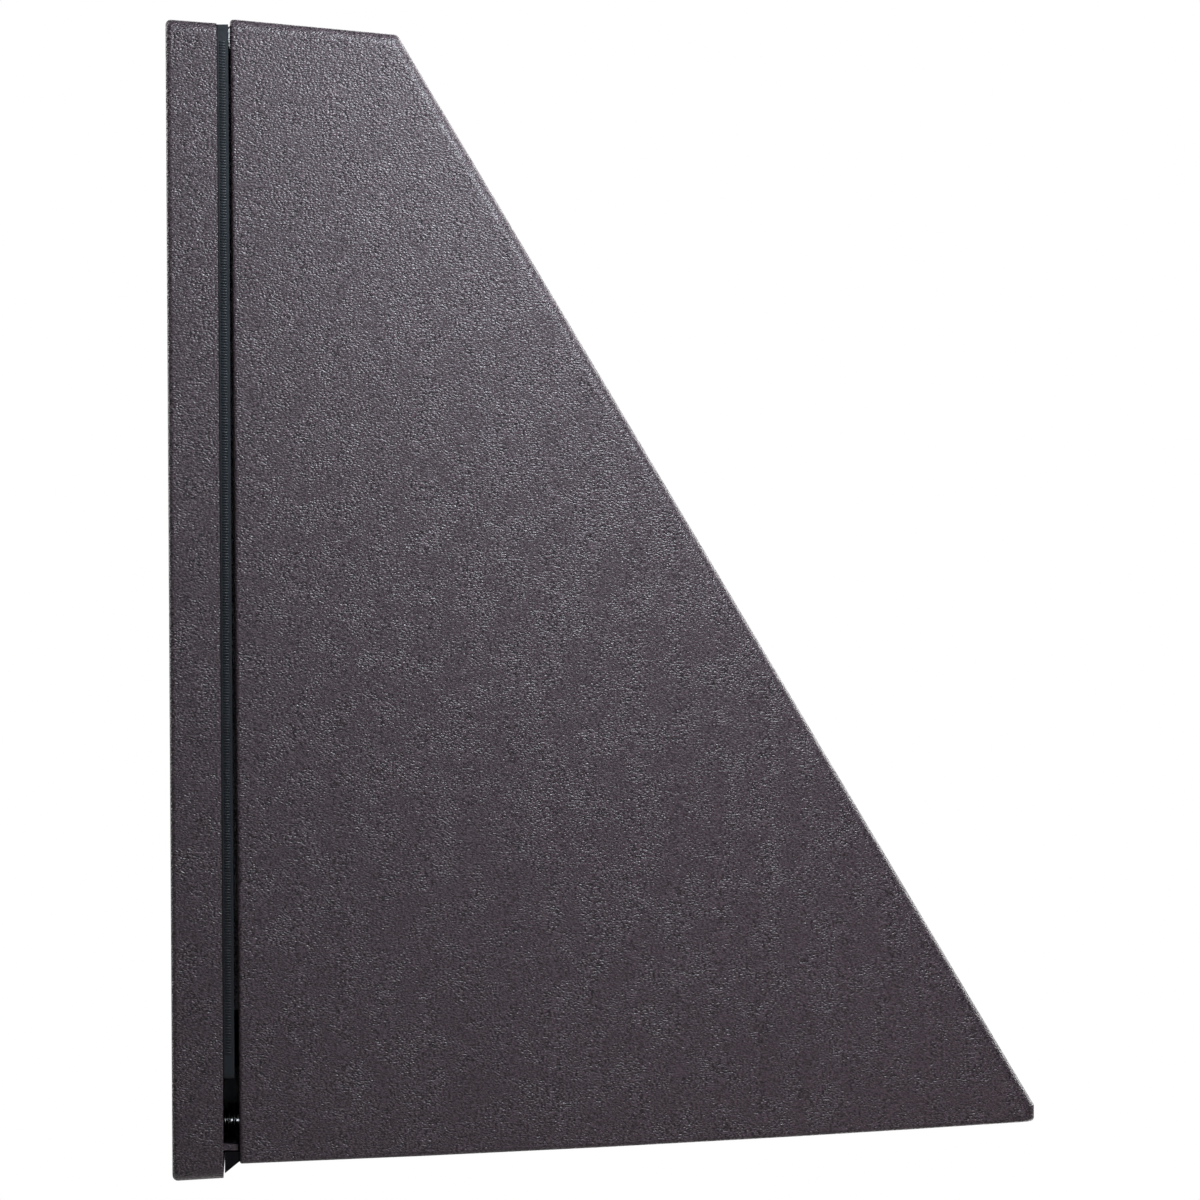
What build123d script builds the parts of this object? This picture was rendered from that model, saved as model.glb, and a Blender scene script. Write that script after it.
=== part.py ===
from build123d import *
import os
from math import cos, pi, radians, sin, tan

os.makedirs("parts", exist_ok=True)

# The wall is the plane y = 0 and the lamp reaches out along -y. x runs along the wall and z is up.
# A depth is a distance from the wall. A level is a height above the lower edge of the back plate.

# Outer form
lamp_width = 360.0
plate_height = 235.0
plate_depth = 10.3
lamp_depth = 175.5
slope_angle = 30.5        # of the sloped front, from the vertical
top_fall = 5.4            # of the housing's top, from the level
side_taper = 2.0          # of the housing's sides, towards the front
rim_level = 3.5           # rear end of the housing's lower rim
lip_level = 10.2          # front end of the housing's lower rim
lip_height = 3.3          # upright strip under the sloped front
rim_bow = 0.6             # how far the lower rim bows down
gap_top = 2.7             # between plate and housing at the top
gap_low = 3.3             # the housing hangs a little open at its lower edge
housing_wall = 2.8
edge_round = 2.5          # along the sides
brow_round = 1.2          # where the top meets the sloped front
rim_round = 0.8
heel_round = 0.5          # rear edge of the lower rim
seat_gap = 0.05           # flat faces of two bodies that meet

# Back plate
plate_skin = 2.8
plate_wall = 2.6
plate_corner = 2.5
plate_round = 1.1         # edges at the wall
plate_top_fall = 0.8      # how much lower the plate's top is at its front
plate_low_rise = 0.5
plate_side_draft = 0.3
plate_rib = 1.8
plate_rib_setback = 2.5   # ribs stop this far from the wall
rib_columns = 4
rib_column_pitch = 64.0
rib_row_level = 60.0      # above and below the middle
labyrinth_wall = 2.0      # upright rib of the plate that stands inside the housing
labyrinth_reach = 5.5
labyrinth_gap = 0.8
labyrinth_low = 34.5
labyrinth_drop = 13.0     # of its top, below the plate's upper edge
ledge_level = 6.2
ledge_height = 1.2
ledge_gap = 0.3
ledge_inset = 1.2
weather_rib = 1.2         # thin rib that keeps rain off the top of the seal
weather_rib_gap = 0.3

# Fixing to the wall
surface_spacing_x = 300.0
surface_spacing_z = 140.0
surface_hole_r = 3.2
surface_boss_r = 7.0
box_screw_reach = 86.1    # middle of the slots for 83.3 mm and 88.9 mm boxes
box_slot_r = 2.4
box_slot_length = 7.6
box_boss_wall = 2.2
wiring_hole_r = 12.0
foam_outer_r = 68.0
foam_width = 9.0
grommet_bore_r = 8.0
grommet_lip = 2.0
grommet_groove = 1.5
ground_x = 60.0
ground_level = 150.0
ground_washer = 1.0
ground_clamp_r = 5.0

# Hinge at the top
hinge_inset = 65.0        # in from the lamp's side
hinge_length = 40.0
ear_length = 10.0
knuckle_gap = 0.4
hinge_drop = 0.8          # of the axis, below the plate's upper edge
hinge_reach = 0.7         # of the axis, in front of the housing's rear rim
hinge_clear = 0.6         # round a barrel
barrel_r = 2.8
pin_r = 1.4
pin_fit = 0.05
pin_head_r = 2.3
pin_head = 1.0

# Seal between plate and housing
seal_thickness = 1.95
seal_edge = 0.6           # in from the plate's edge
seal_low = 20.5
seal_run = 6.0
seal_drop = 5.6           # of its top run, below the plate's upper edge
seal_horn_drop = 0.4      # the two upright runs end this far below the plate's front edge
seal_corner = 1.2
seal_rib_gap = 0.3
stop_block_width = 10.0
stop_block_inset = 32.0

# Rail, ledge and posts cast in the housing
rail_depth = 17.0
rail_top = 33.0
beam_drop = 12.0          # of its underside, below the housing's top
beam_depth = 16.0
seat_level = 23.5         # underside of the ledge that the lens presses on
seat_thickness = 3.0
window_inset = 20.0
bay_front_gap = 0.3
post_inset = 4.0
post_r = 4.5
post_rear_gap = 13.0      # from the rail to the rearmost posts
post_front_gap = 8.0      # from the heat sink's front edge to the foremost posts
sink_level = 37.5         # underside of the heat sink
post_low_top = 31.5       # posts that hold only the lens frame
tap_r = 1.6
tap_depth = 7.0           # of the lens frame's holes, in the posts
sink_tap_depth = 5.5
bracket_tap_depth = 11.0
front_rib = 2.0           # stiffening ribs inside the sloped front
front_rib_height = 3.5
front_rib_low = 58.0
front_rib_drop = 14.0     # of their tops, below the housing's top
front_rib_pitch = 44.0
front_rib_count = 7
screw_r = 1.5
screw_clear_r = 2.1
screw_bite = 4.5          # into what a small screw holds on to
long_screw_bite = 9.0
frame_screw_bite = 10.5
head_r = 3.5
head_height = 2.2
head_chamfer = 0.6
fastener_sides = 8        # small screws are plain prisms
screw_fit = 0.1

# Lens
frame_thickness = 2.5
frame_gap = 0.5
frame_bevel = 1.2
lens_seal_inset = 9.0
lens_seal_inner = 18.5
glass_inset = 11.0
glass_thickness = 4.0
glass_bevel = 0.4
lens_lip = 0.5            # of the seal, above and below the glass

# Light engine
sink_base = 4.0
sink_rear = 19.0
sink_front_gap = 1.2      # from the heat sink's base to the sloped front
sink_side_gap = 1.0
fin_height = 12.0
fin_thickness = 1.8
fin_pitch = 10.0
fin_rear = 64.0
fin_front_gap = 3.8       # from the fins' tops to the sloped front
fin_side_gap = 30.0
pad_thickness = 0.5
pad_hole_gap = 0.4
board_thickness = 1.6
board_hole_gap = 0.3
board_inset = 31.0
reflector_flange_inset = 14.0
reflector_flange = 1.0
reflector_top_inset = 33.0
reflector_wall = 1.0
reflector_gap = 0.2
led_size = 3.5
led_height = 0.7
led_rows = 3
led_columns = 10
led_row_pitch = 26.0
led_column_pitch = 27.0
board_screw_r = 1.15
board_screw_head_r = 2.4
board_screw_head = 1.5
board_screw_reach = 5.0
board_screw_span = 121.5

# Driver and its bracket
bracket_front_gap = 7.2   # from its upper flange to the sloped front
bracket_thickness = 1.5
bracket_fold = 1.2        # radius of its folds
bracket_drop = 57.0       # of its upper edge, below the housing's top
bracket_height = 50.0
bracket_half = 96.0
bracket_flange = 8.0
bracket_post_r = 5.0
bracket_post_x = 88.0
bracket_post_rise = 13.0
driver_half = 60.0
driver_depth = 32.0
driver_height = 44.0
driver_round = 2.0
cap_length = 6.0
tab_length = 12.0
tab_thickness = 1.5
tab_hole = 4.8            # from the cap to the middle of the tab's hole
tab_height = 16.0

# Terminal block
block_inset = 80.0        # in from the lamp's left side
block_depth = 31.0
block_length = 34.0
block_width = 16.0
block_height = 15.0
block_ear = 7.0
block_ear_height = 4.0
block_bevel = 2.0
block_screw_bite = 3.5
pole_pitch = 9.0
pole_screw_r = 1.7
pole_screw_fit = 0.4
pole_screw_drop = 1.0     # of its top, below the block's
pole_slot = 0.7
pole_slot_depth = 0.6
pole_bore = 6.0
lead_bore = 5.0

# Leads
lead_r = 1.2
lead_spread = 6.5         # between leads on the driver
output_spread = 3.4       # between leads in the grommet
output_inset = 50.0       # in from the lamp's right side
output_depth = 56.0
lead_grommet_r = 5.0
lead_grommet_lip = 2.0
wire_sides = 8            # of a lead's and a spring's section
lead_fit = 0.05           # in the grommet
lead_entry_fit = 0.1      # in the terminal block
lead_stagger = 3.0        # in height, from lead to lead at their first bend
input_start = 10.0        # straight first stretch, out of the driver
input_fan = 4.0           # how much longer it is from lead to lead
input_bend = 22.0         # how far below its start each stretch of an input lead ends
input_fall = 48.0
input_rise = 24.0         # upright last stretch, into the terminal block
input_sway = 4.0          # sideways, past the terminal block's pole and back
input_return = 3.0
input_lean = 3.0          # towards the wall, from bend to bend
input_setback = 7.0
output_bend = 26.0
output_fall = 58.0
output_rise = 34.0        # upright last stretch, into the grommet
output_start = 22.0
output_fan = 7.0
output_swing = 14.0       # sideways, short of the grommet
output_sway = 4.0
output_lean = 5.0

# Screws that close the housing
latch_inset = 18.0        # in from the lamp's side
latch_level = 11.2
latch_r = 2.4
latch_neck_r = 1.9
latch_neck_fit = 0.12
latch_hole_gap = 0.55
latch_socket_wall = 3.6
latch_tip = 5.5           # depth of the screw's end
latch_thread = 5.5
latch_travel = 6.0
latch_boss_r = 4.7
latch_boss = 3.2          # proud of the rail
latch_clear = 0.3         # round the thread, in the rail
latch_lead = 0.8          # bevel at the thread's end
latch_head_r = 4.0
latch_head = 4.5
latch_socket_r = 2.0
latch_socket = 2.7
spring_wire = 0.75
spring_mean_r = 3.25
spring_turns = 2

# Drip lip
lip_drop = 1.9            # of its tip, below the housing's rim
lip_tongue = 1.6
lip_tongue_height = 1.0
lip_tongue_drop = 0.4     # below the lip's upper face
lip_gap = 0.3
lip_inset = 0.8

mid = plate_height / 2
far = 2 * lamp_width      # longer than anything that a cutting or filling body has to cross


def level(height):
    return height - mid


def across(angle):
    return tan(radians(angle))


rim_top_depth = plate_depth + gap_top
rim_low_depth = plate_depth + gap_low
lip_top = level(lip_level + lip_height)
labyrinth_top = plate_height - labyrinth_drop
beam_low = plate_height - beam_drop
seal_top = plate_height - seal_drop
hinge_offset = lamp_width / 2 - hinge_inset
hinge_depth = rim_top_depth + hinge_reach
hinge_z = level(plate_height - hinge_drop)
bracket_high = plate_height - bracket_drop
bracket_low = bracket_high - bracket_height
block_x = block_inset - lamp_width / 2
output_x = lamp_width / 2 - output_inset
sink_top = sink_level + sink_base
glass_low = seat_level - lens_lip - glass_thickness
frame_top = glass_low - lens_lip
frame_low = frame_top - frame_thickness
seat_top = seat_level + seat_thickness
pad_low = sink_level - pad_thickness
board_low = pad_low - board_thickness
latch_x = lamp_width / 2 - latch_inset
latch_neck_end = latch_tip + latch_thread
rail_bore_end = latch_neck_end + latch_travel + seat_gap
boss_face = rail_depth + latch_boss


def slope_depth(z, inset=0.0):
    """Depth of the sloped front at a height z, for a face set in by a wall."""
    return lamp_depth - (z - lip_top) * across(slope_angle) - inset / cos(radians(slope_angle))


def rim_depth(height):
    """Depth of the housing's rear rim, which leans a little away from the plate."""
    share = (height - rim_level) / (plate_height - rim_level)
    return rim_low_depth + (rim_top_depth - rim_low_depth) * share


def half_width(depth, inset=0.0):
    return lamp_width / 2 - max(0.0, depth - rim_top_depth) * across(side_taper) - inset


# The bay is the clear plan of the housing at the lens
bay_rear = rail_depth
bay_front = slope_depth(level(seat_level), housing_wall) - bay_front_gap

# What stands behind the sloped front keeps its clearance from it
sink_front = slope_depth(level(sink_top), housing_wall) - sink_front_gap
fin_front = slope_depth(level(sink_top + fin_height), housing_wall) - fin_front_gap
bracket_front = slope_depth(level(bracket_high), housing_wall) - bracket_front_gap
bracket_rear = bracket_front - bracket_flange - bracket_thickness


def block(x0, x1, depth0, depth1, level0, level1):
    """A box from its limits across, in depth and in level."""
    size = (x1 - x0, depth1 - depth0, level1 - level0)
    centre = ((x0 + x1) / 2, -(depth0 + depth1) / 2, level((level0 + level1) / 2))
    return Pos(*centre) * Box(*size)


def upright(x, depth, level0, level1, radius):
    """A cylinder that stands upright."""
    return Pos(x, -depth, level((level0 + level1) / 2)) * Cylinder(radius, level1 - level0)


def forward(x, depth0, depth1, z, radius):
    """A cylinder that points out from the wall."""
    return Pos(x, -(depth0 + depth1) / 2, z) * Rot(90, 0, 0) * Cylinder(radius, depth1 - depth0)


def sideways(x0, x1, depth, z, radius):
    """A cylinder that lies along the wall."""
    return Pos((x0 + x1) / 2, -depth, z) * Rot(0, 90, 0) * Cylinder(radius, x1 - x0)


def plan_face(rear, front, inset, height):
    """The tapering plan of the housing's inside between two depths, as a face at a level."""
    outline = [(side * half_width(depth, housing_wall + inset), -depth)
               for side, depth in ((-1, rear), (-1, front), (1, front), (1, rear))]
    return Pos(0, 0, level(height)) * Polygon(*outline, align=None)


def bay_face(inset, height):
    return plan_face(bay_rear + inset, bay_front - inset, inset, height)


def bay_slab(inset, level0, level1):
    return extrude(bay_face(inset, level0), amount=level1 - level0)


# Housing

def side_points(inset=0.0):
    """Corners of the side view: top rear, top front, slope's foot. Each line is set in by a wall."""
    fall, lean = across(top_fall), across(slope_angle)
    top_z = level(plate_height) - inset / cos(radians(top_fall))
    reach = top_z - lip_top + rim_top_depth * fall + inset / sin(radians(slope_angle))
    front = (lamp_depth - reach * lean) / (1 - fall * lean)
    foot_z = lip_top + (inset - inset / cos(radians(slope_angle))) / lean
    return [(-rim_top_depth, top_z), (-front, top_z - (front - rim_top_depth) * fall), (inset - lamp_depth, foot_z)]


def outer_body():
    rear_top, front_top, foot = side_points()
    rear_low = (-rim_low_depth, level(rim_level))
    front_low = (-lamp_depth, level(lip_level))
    bow = ((rear_low[0] + front_low[0]) / 2, (rear_low[1] + front_low[1]) / 2 - rim_bow)
    outline = Polyline(rear_low, rear_top, front_top, foot, front_low) + ThreePointArc(front_low, bow, rear_low)
    side = extrude(Plane.YZ * make_face(outline), amount=lamp_width, both=True)
    plan = [(s * half_width(d), -d) for s, d in ((-1, 0), (-1, rim_top_depth), (-1, lamp_depth + 1),
                                                 (1, lamp_depth + 1), (1, rim_top_depth), (1, 0))]
    body = side & extrude(Polygon(*plan, align=None), amount=plate_height, both=True)
    brow = [e for e in body.edges().filter_by(Axis.X)
            if e.center().Z > 0 and e.center().Y < -rim_low_depth - edge_round]
    body = fillet(brow, brow_round)
    sides = [e for e in body.edges() if abs(e.center().X) > 1
             and e.center().Z > level(lip_level) + rim_round and e.center().Y < -rim_low_depth - rim_round]
    body = fillet(sides, edge_round)
    rim = body.edges().filter_by(Axis.X).filter_by(lambda e: e.center().Z < level(lip_level) + seat_gap)
    body = fillet([e for e in rim if e.center().Y > -rim_low_depth - seat_gap], heel_round)
    return fillet([e for e in body.edges().filter_by(Axis.X) if e.center().Z < level(lip_level) + seat_gap
                   and e.center().Y < -lamp_depth + seat_gap], rim_round)


def cavity_body():
    rear_top, front_top, foot = side_points(housing_wall)
    slope = (front_top[1] - rear_top[1]) / (front_top[0] - rear_top[0])
    outline = Polygon((10, rear_top[1] + slope * (10 - rear_top[0])), front_top, foot, (foot[0], -plate_height),
                      (10, -plate_height), align=None)
    side = extrude(Plane.YZ * outline, amount=lamp_width, both=True)
    plan = [(s * half_width(d, housing_wall), -d) for s, d in ((-1, -10), (-1, rim_top_depth), (-1, lamp_depth + 1),
                                                               (1, lamp_depth + 1), (1, rim_top_depth), (1, -10))]
    return side & extrude(Polygon(*plan, align=None), amount=plate_height, both=True)


def side_posts():
    """Places of the posts along both side walls: three a side, x and depth."""
    depths = (rail_depth + post_rear_gap, (rail_depth + sink_front) / 2, sink_front - post_front_gap)
    return [(side * half_width(depth, housing_wall + post_inset), depth) for side in (-1, 1) for depth in depths]


def end_posts():
    return [(0.0, bay_rear + post_inset), (0.0, bay_front - post_inset)]


def bracket_posts():
    middle = (bracket_low + bracket_high) / 2
    return [(side * bracket_post_x, middle + rise) for side in (-1, 1) for rise in (-bracket_post_rise,
                                                                                    bracket_post_rise)]


def hinge_pocket(grow):
    """The recess at the top of the housing round each hinge, grown by a wall all round."""
    half = hinge_length / 2 + hinge_clear + pin_head + grow
    floor = hinge_depth + barrel_r + hinge_clear + grow
    low = plate_height - hinge_drop - barrel_r - hinge_clear - grow
    return [block(side * hinge_offset - half, side * hinge_offset + half, 0, floor, low, plate_height + 10)
            for side in (-1, 1)]


def housing_knuckle(side):
    half = hinge_length / 2 - ear_length - knuckle_gap
    x = side * hinge_offset
    floor = hinge_depth + barrel_r + hinge_clear
    web = Pos(x, -(hinge_depth + floor) / 2, hinge_z) * Box(2 * half, floor - hinge_depth, 2 * barrel_r)
    barrel = sideways(x - half, x + half, hinge_depth, hinge_z, barrel_r) + web
    return barrel - sideways(x - half - 1, x + half + 1, hinge_depth, hinge_z, pin_r + pin_fit)


def front_ribs():
    """Upright stiffening ribs inside the sloped front."""
    low, high = level(front_rib_low), level(plate_height - front_rib_drop)
    outline = Polygon(*[(-slope_depth(z, inset), z) for z, inset in (
        (low, housing_wall / 2), (high, housing_wall / 2), (high, housing_wall + front_rib_height / 2),
        (high - front_rib_height, housing_wall + front_rib_height), (low, housing_wall + front_rib_height))], align=None)
    rib = extrude(Plane.YZ * outline, amount=front_rib / 2, both=True)
    return [Pos((n - (front_rib_count - 1) / 2) * front_rib_pitch, 0, 0) * rib for n in range(front_rib_count)]


def housing():
    """The cast shell: outer form less a core, which leaves rail, beam, ledge, ribs and posts, then hinge knuckles."""
    core = cavity_body()
    ledge = extrude(Pos(0, 0, level(seat_level)) * Rectangle(far, far), amount=seat_thickness)
    ledge = ledge - bay_slab(window_inset, seat_level - 1, seat_top + 1)
    features = [block(-far, far, 0, rail_depth, 0, rail_top), block(-far, far, 0, beam_depth, beam_low, plate_height),
                ledge]
    features += [upright(x, d, seat_level, sink_level, post_r) for x, d in side_posts()]
    features += [upright(x, d, seat_level, post_low_top, post_r) for x, d in end_posts()]
    features += [forward(x, bracket_rear + bracket_thickness, lamp_depth, level(h), bracket_post_r)
                 for x, h in bracket_posts()]
    features += hinge_pocket(housing_wall) + front_ribs()
    features += [forward(s * latch_x, rail_depth - 1, boss_face, level(latch_level), latch_boss_r) for s in (-1, 1)]
    for feature in features:
        core = core - feature
    shell = outer_body() - core
    for pocket in hinge_pocket(0):
        shell = shell - pocket
    for side in (-1, 1):
        shell = shell + housing_knuckle(side)
        shell = shell - forward(side * latch_x, 0, rail_bore_end, level(latch_level), latch_r + latch_clear)
        shell = shell - forward(side * latch_x, 0, boss_face + 1, level(latch_level), latch_neck_r + latch_neck_fit)
    for x, d in side_posts():
        shell = shell - upright(x, d, sink_level - sink_tap_depth, sink_level + 1, tap_r)
    for x, d in side_posts() + end_posts():
        shell = shell - upright(x, d, seat_level - 1, seat_level + tap_depth, tap_r)
    for x, h in bracket_posts():
        front = bracket_rear + bracket_thickness
        shell = shell - forward(x, front - 1, front + bracket_tap_depth, level(h), tap_r)
    return shell - lip_tongue_body(lip_gap / 6)


# Back plate

def plate_outline(inset, front):
    """The plate's outline as a face, at the wall or at its front."""
    top = mid - (plate_top_fall if front else 0) - inset
    low = -mid + (plate_low_rise if front else 0) + inset
    half = lamp_width / 2 - (plate_side_draft if front else 0) - inset
    corner = max(plate_corner - inset, 0.3)
    face = Pos(0, (top + low) / 2) * RectangleRounded(2 * half, top - low, corner)
    return Plane.XZ.offset(plate_depth if front else 0) * face


def surface_holes():
    return [(sx * surface_spacing_x / 2, sz * surface_spacing_z / 2) for sx in (-1, 1) for sz in (-1, 1)]


def box_slots(grow, depth0, depth1):
    """The four slots for a junction box, two across and two upright."""
    slots = []
    for angle in (0, 90, 180, 270):
        slot = Rot(0, 0, angle) * Pos(box_screw_reach / 2, 0) * SlotOverall(box_slot_length + 2 * grow,
                                                                           2 * (box_slot_r + grow))
        slots.append(extrude(Plane.XZ.offset(depth0) * slot, amount=depth1 - depth0))
    return slots


def labyrinth(inset):
    half = lamp_width / 2 - housing_wall - labyrinth_gap - inset
    return block(-half, half, plate_depth - 1, plate_depth + labyrinth_reach, labyrinth_low + inset,
                 labyrinth_top - inset)


def plate_ear(x0, x1):
    web_half = barrel_r
    web = Pos((x0 + x1) / 2, -(plate_depth - 1 + hinge_depth) / 2, hinge_z - hinge_drop) * Box(
        x1 - x0, hinge_depth - plate_depth + 1, 2 * (web_half - hinge_drop))
    ear = sideways(x0, x1, hinge_depth, hinge_z, barrel_r) + web
    return ear - sideways(x0 - 1, x1 + 1, hinge_depth, hinge_z, pin_r)


def back_plate():
    """The cast tray: open towards the wall, ribbed behind, with bosses, labyrinth rib, ledge and hinge ears."""
    plate = loft([plate_outline(0, False), plate_outline(0, True)])
    wall_edges = [e for e in plate.edges() if abs(e.center().Y) < 0.01]
    plate = fillet(wall_edges, plate_round)
    floor = plate_depth - plate_skin
    hollow = extrude(plate_outline(plate_wall, False), amount=floor)
    ribs = []
    for n in range(rib_columns):
        x = (n - (rib_columns - 1) / 2) * rib_column_pitch
        ribs.append(block(x - plate_rib / 2, x + plate_rib / 2, plate_rib_setback, floor, 0, plate_height))
    for z in (-rib_row_level, rib_row_level):
        ribs.append(block(-far, far, plate_rib_setback, floor, mid + z - plate_rib / 2, mid + z + plate_rib / 2))
    core = hollow
    for rib in ribs:
        core = core - rib
    core = core + forward(0, 0, floor, 0, foam_outer_r + 1)
    for boss in ([forward(x, 0, floor, z, surface_boss_r) for x, z in surface_holes()]
                 + box_slots(box_boss_wall, 0, floor)
                 + [forward(s * latch_x, 1, floor, level(latch_level), latch_r + latch_socket_wall) for s in (-1, 1)]):
        core = core - boss
    plate = plate - core
    plate = plate + (labyrinth(0) - labyrinth(labyrinth_wall))
    half = lamp_width / 2 - ledge_inset
    plate = plate + block(-half, half, plate_depth - 1, rim_low_depth - ledge_gap, ledge_level,
                          ledge_level + ledge_height)
    half = lamp_width / 2 - housing_wall - labyrinth_gap
    plate = plate + block(-half, half, plate_depth - 1, rim_top_depth - weather_rib_gap,
                          seal_top + weather_rib_gap, seal_top + weather_rib_gap + weather_rib)
    for side in (-1, 1):
        end = hinge_length / 2
        plate = plate + plate_ear(side * hinge_offset - end, side * hinge_offset - end + ear_length)
        plate = plate + plate_ear(side * hinge_offset + end - ear_length, side * hinge_offset + end)
        plate = plate - forward(side * latch_x, 3, plate_depth + 1, level(latch_level), latch_r + latch_hole_gap)
    for x, z in surface_holes():
        plate = plate - forward(x, -1, plate_depth + 1, z, surface_hole_r)
    for slot in box_slots(0, -1, plate_depth + 1):
        plate = plate - slot
    plate = plate - forward(0, -1, plate_depth + 1, 0, wiring_hole_r)
    x, z = ground_place()
    return plate - forward(x, floor - 1, plate_depth + 1, z, tap_r)


def ground_place():
    return ground_x, level(ground_level)


# Other pieces on the plate

def wall_foam():
    """Ring of foam that seals the plate to the wall round the junction box."""
    floor = plate_depth - plate_skin
    return forward(0, 0, floor, 0, foam_outer_r) - forward(0, -1, floor + 1, 0, foam_outer_r - foam_width)


def wiring_grommet():
    rear, front = plate_depth - plate_skin, plate_depth
    body = forward(0, rear - grommet_lip, front + grommet_lip, 0, wiring_hole_r + grommet_groove)
    waist = forward(0, rear, front, 0, wiring_hole_r + grommet_groove + 1) - forward(0, rear, front, 0, wiring_hole_r)
    return body - waist - forward(0, 0, front + grommet_lip + 1, 0, grommet_bore_r)


def housing_seal():
    """Rubber seal round the labyrinth rib, with two upright runs carried on to the top corners."""
    half = lamp_width / 2 - plate_side_draft - seal_edge
    inner = lamp_width / 2 - housing_wall - labyrinth_gap + seal_rib_gap
    front = plate_depth + seal_thickness
    ring = block(-half, half, plate_depth, front, seal_low, seal_top)
    ring = fillet(ring.edges().filter_by(Axis.Y).group_by(Axis.Z)[0], seal_corner)
    horn_top = plate_height - plate_top_fall - seal_horn_drop
    ring = ring - block(-inner, inner, 0, front + 1, seal_low + seal_run, labyrinth_top + seal_rib_gap)
    for side in (-1, 1):
        outer, inside = side * half, side * inner
        ring = ring + block(min(outer, inside), max(outer, inside), plate_depth, front, seal_top - 1, horn_top)
        x = side * (lamp_width / 2 - stop_block_inset)
        ring = ring + block(x - stop_block_width / 2, x + stop_block_width / 2, plate_depth,
                            rim_low_depth - 2 * seat_gap, ledge_level + ledge_height, seal_low + 1)
    return ring


def hinge_pins():
    pins = []
    for side in (-1, 1):
        end = side * hinge_offset + side * hinge_length / 2
        start = side * hinge_offset - side * (hinge_length / 2 + pin_head / 2)
        shank = sideways(min(start, end), max(start, end), hinge_depth, hinge_z, pin_r)
        head = sideways(min(end, end + side * pin_head), max(end, end + side * pin_head), hinge_depth, hinge_z,
                        pin_head_r)
        pins.append(shank + head)
    return pins


def plain_screw(shank_r, reach, radius, height):
    """A screw in few faces on the plane z = 0: bevelled head above it, shank below it."""
    head = extrude(RegularPolygon(radius, fastener_sides), amount=height)
    head = chamfer(head.faces().sort_by(Axis.Z)[-1].edges(), head_chamfer)
    return head + extrude(RegularPolygon(shank_r, fastener_sides), amount=-reach)


def screw(x, z, seat, toward, shank_r, reach, radius, height):
    """A screw along y. toward is 1 for a head on the side away from the wall."""
    return Pos(x, -seat, z) * Rot(90 * toward, 0, 0) * plain_screw(shank_r, reach, radius, height)


def standing_screw(x, depth, seat, up, shank_r, reach, radius, height):
    """A screw that stands upright. up is 1 for a head above its seat and -1 for a head below it."""
    turn = 0 if up > 0 else 180
    return Pos(x, -depth, level(seat)) * Rot(turn, 0, 0) * plain_screw(shank_r, reach, radius, height)


def ground_screw():
    x, z = ground_place()
    seat = plate_depth + ground_washer
    return screw(x, z, seat, 1, screw_r, plate_skin + ground_washer, head_r, head_height)


def ground_clamp():
    x, z = ground_place()
    ring = forward(x, plate_depth, plate_depth + ground_washer, z, ground_clamp_r)
    return ring - forward(x, 0, plate_depth + 5, z, screw_r + screw_fit)


# Lens

def frame_places():
    return side_posts() + end_posts()


def lens_frame():
    outer = bay_slab(frame_gap, frame_low, frame_top)
    window = loft([bay_face(window_inset - frame_bevel, frame_low), bay_face(window_inset, frame_top)])
    frame = outer - window
    for x, d in frame_places():
        frame = frame + (upright(x, d, frame_top, seat_level, post_r) & bay_slab(frame_gap, frame_low, seat_level))
    for x, d in frame_places():
        frame = frame - upright(x, d, frame_low - 1, seat_level + 1, screw_clear_r)
    return frame


def lens_glass():
    glass = bay_slab(glass_inset, glass_low, glass_low + glass_thickness)
    ends = glass.faces().sort_by(Axis.Z)
    return chamfer(ends[0].edges() + ends[-1].edges(), glass_bevel)


def lens_seal():
    ring = bay_slab(lens_seal_inset, frame_top, seat_level) - bay_slab(lens_seal_inner, frame_top - 1, seat_level + 1)
    return ring - bay_slab(glass_inset, glass_low, glass_low + glass_thickness)


def lens_frame_screws():
    return [standing_screw(x, d, frame_low, -1, screw_r, frame_thickness + frame_screw_bite, head_r, head_height)
            for x, d in frame_places()]


# Light engine

def reflector():
    """White tray round the board: sloping sides from the lens opening up to the board."""
    low, top = seat_top, board_low - reflector_gap
    outer = loft([bay_face(window_inset - reflector_wall, low), bay_face(reflector_top_inset - reflector_wall, top)])
    inner = loft([bay_face(window_inset, low), bay_face(reflector_top_inset, top)])
    flange = bay_slab(reflector_flange_inset, low, low + reflector_flange)
    flange = flange - bay_slab(window_inset, low - 1, low + reflector_flange + 1)
    return (flange + outer) - inner


def heat_sink():
    """Extruded plate with upright fins, cleared at the rear for screws, leads and the terminal block."""
    top = sink_top
    base = extrude(plan_face(sink_rear, sink_front, sink_side_gap, sink_level), amount=sink_base)
    count = int((lamp_width - 2 * fin_side_gap) / fin_pitch) + 1
    row = [Pos((n - (count - 1) / 2) * fin_pitch, level(top - 0.5 + (fin_height + 0.5) / 2))
           * Rectangle(fin_thickness, fin_height + 0.5) for n in range(count)]
    fins = [extrude(Plane.XZ.offset(fin_rear) * fin, amount=fin_front - fin_rear) for fin in row]
    sink = base + fins
    for x, d in side_posts():
        sink = sink - upright(x, d, sink_level - 1, top + 1, screw_clear_r)
        sink = sink - upright(x, d, top, top + fin_height + 1, head_r + 1)
    for x, d in board_screw_places():
        sink = sink - upright(x, d, sink_level - 1, sink_level + board_screw_reach - pad_thickness,
                              board_screw_r + screw_fit)
    for x, d in block_screw_places():
        sink = sink - upright(x, d, sink_level - 1, top + 1, board_screw_r + screw_fit)
    return sink - upright(output_x, output_depth, sink_level - 1, top + 1, lead_grommet_r)


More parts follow.
